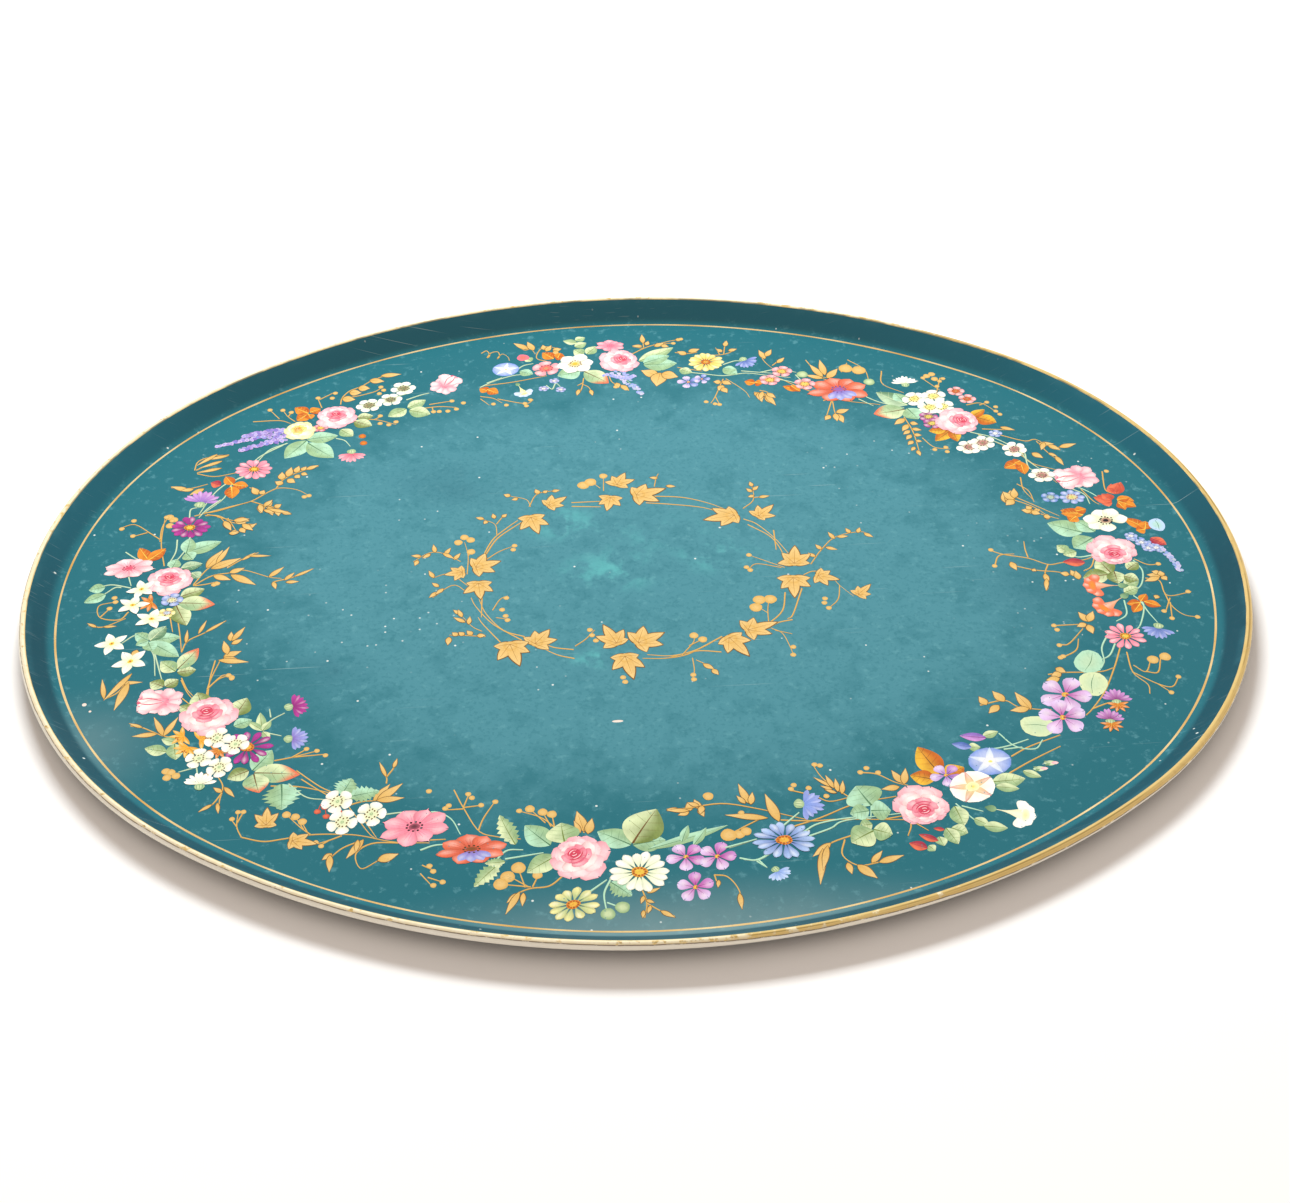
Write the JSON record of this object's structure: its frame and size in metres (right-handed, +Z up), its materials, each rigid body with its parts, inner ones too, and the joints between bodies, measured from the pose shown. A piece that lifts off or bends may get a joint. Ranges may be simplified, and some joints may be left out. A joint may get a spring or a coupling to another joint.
{
  "type": "painted oval tray",
  "caption": "Oval pressed-steel serving tray with a coved floor, a sloping wall and a rolled edge stiffened by a hidden wire.",
  "frame": {"origin": "centre of the underside", "axes": "+X along the tray, +Y across it, +Z up out of the dish"},
  "size_m": [0.7618, 0.6158, 0.0138],
  "materials": {
    "lacquered_sheet": "satin lacquer with painted flowers, gilded rolled edge",
    "wire": "plain drawn wire"
  },
  "bodies": {
    "root": {"pan": "lacquered_sheet", "edge_wire": "wire"}
  },
  "joints": []
}
